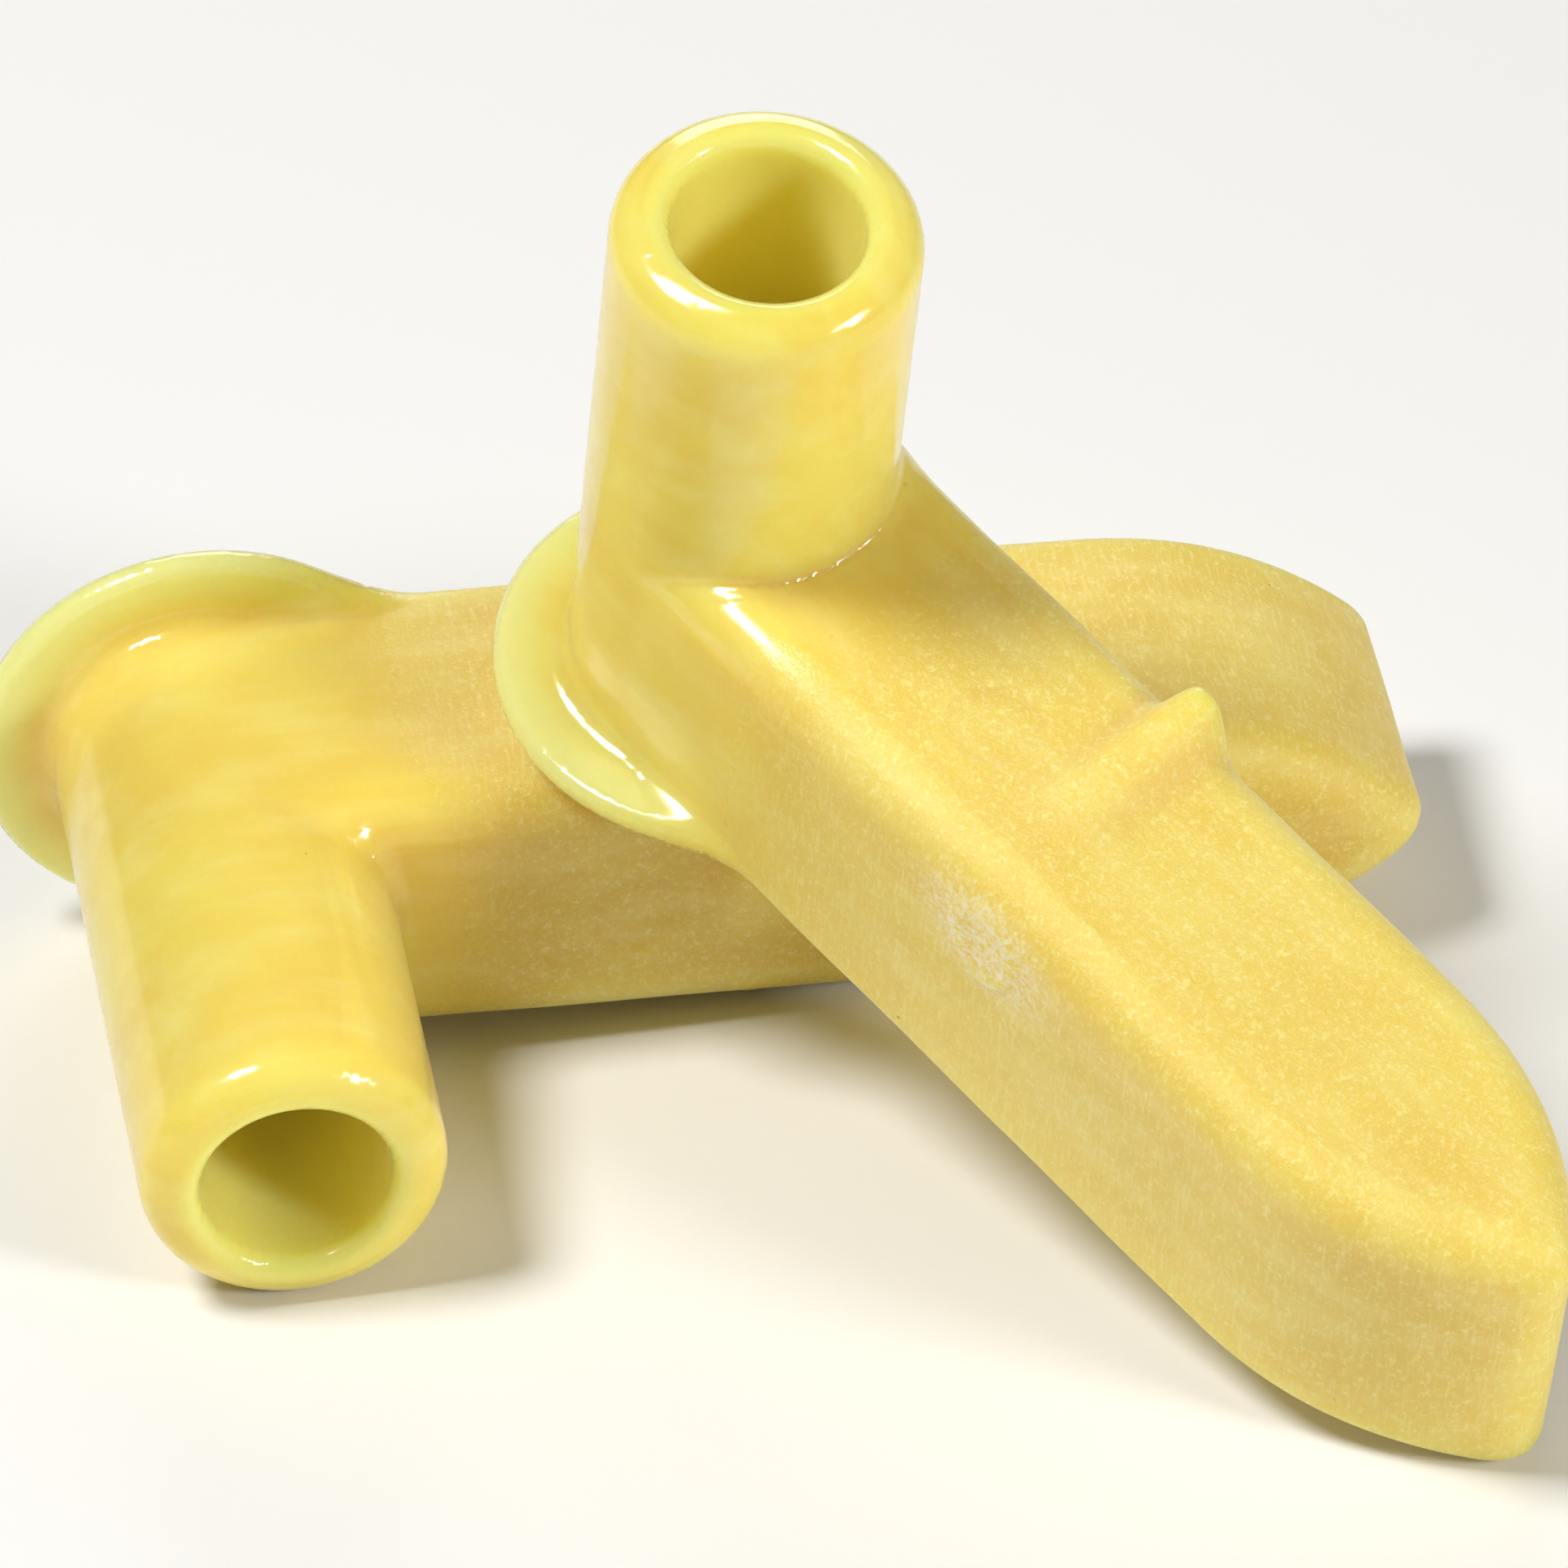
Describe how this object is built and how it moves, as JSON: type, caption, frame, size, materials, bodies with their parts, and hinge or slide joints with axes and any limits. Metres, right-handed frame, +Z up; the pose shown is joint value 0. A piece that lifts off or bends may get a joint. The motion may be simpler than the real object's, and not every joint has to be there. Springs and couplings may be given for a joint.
{
  "type": "twist-on wire connector pair",
  "caption": "Two winged twist-on wire connectors, each a nylon socket tube on a flange with a pointed side wing, one leaning across the other.",
  "frame": {"origin": "middle of the pair's footprint, on the surface it lies on", "axes": "+Z up, +X along the lower connector's wing towards its point, -Y the way the lower connector's mouth faces"},
  "size_m": [0.0586, 0.0548, 0.045],
  "materials": {
    "natural_nylon": "semi-gloss aged natural nylon, translucent, with flow marks",
    "spring_steel": "bright drawn wire"
  },
  "bodies": {
    "lower_connector": {"lower_connector_shell": "natural_nylon", "lower_grip_spring": "spring_steel"},
    "upper_connector": {"upper_connector_shell": "natural_nylon", "upper_grip_spring": "spring_steel"}
  },
  "joints": [
    {"name": "upper_connector_lift", "type": "slide", "parent": "lower_connector", "child": "upper_connector", "axis": [0, 0, 1], "range_m": [0, 0.05]}
  ]
}
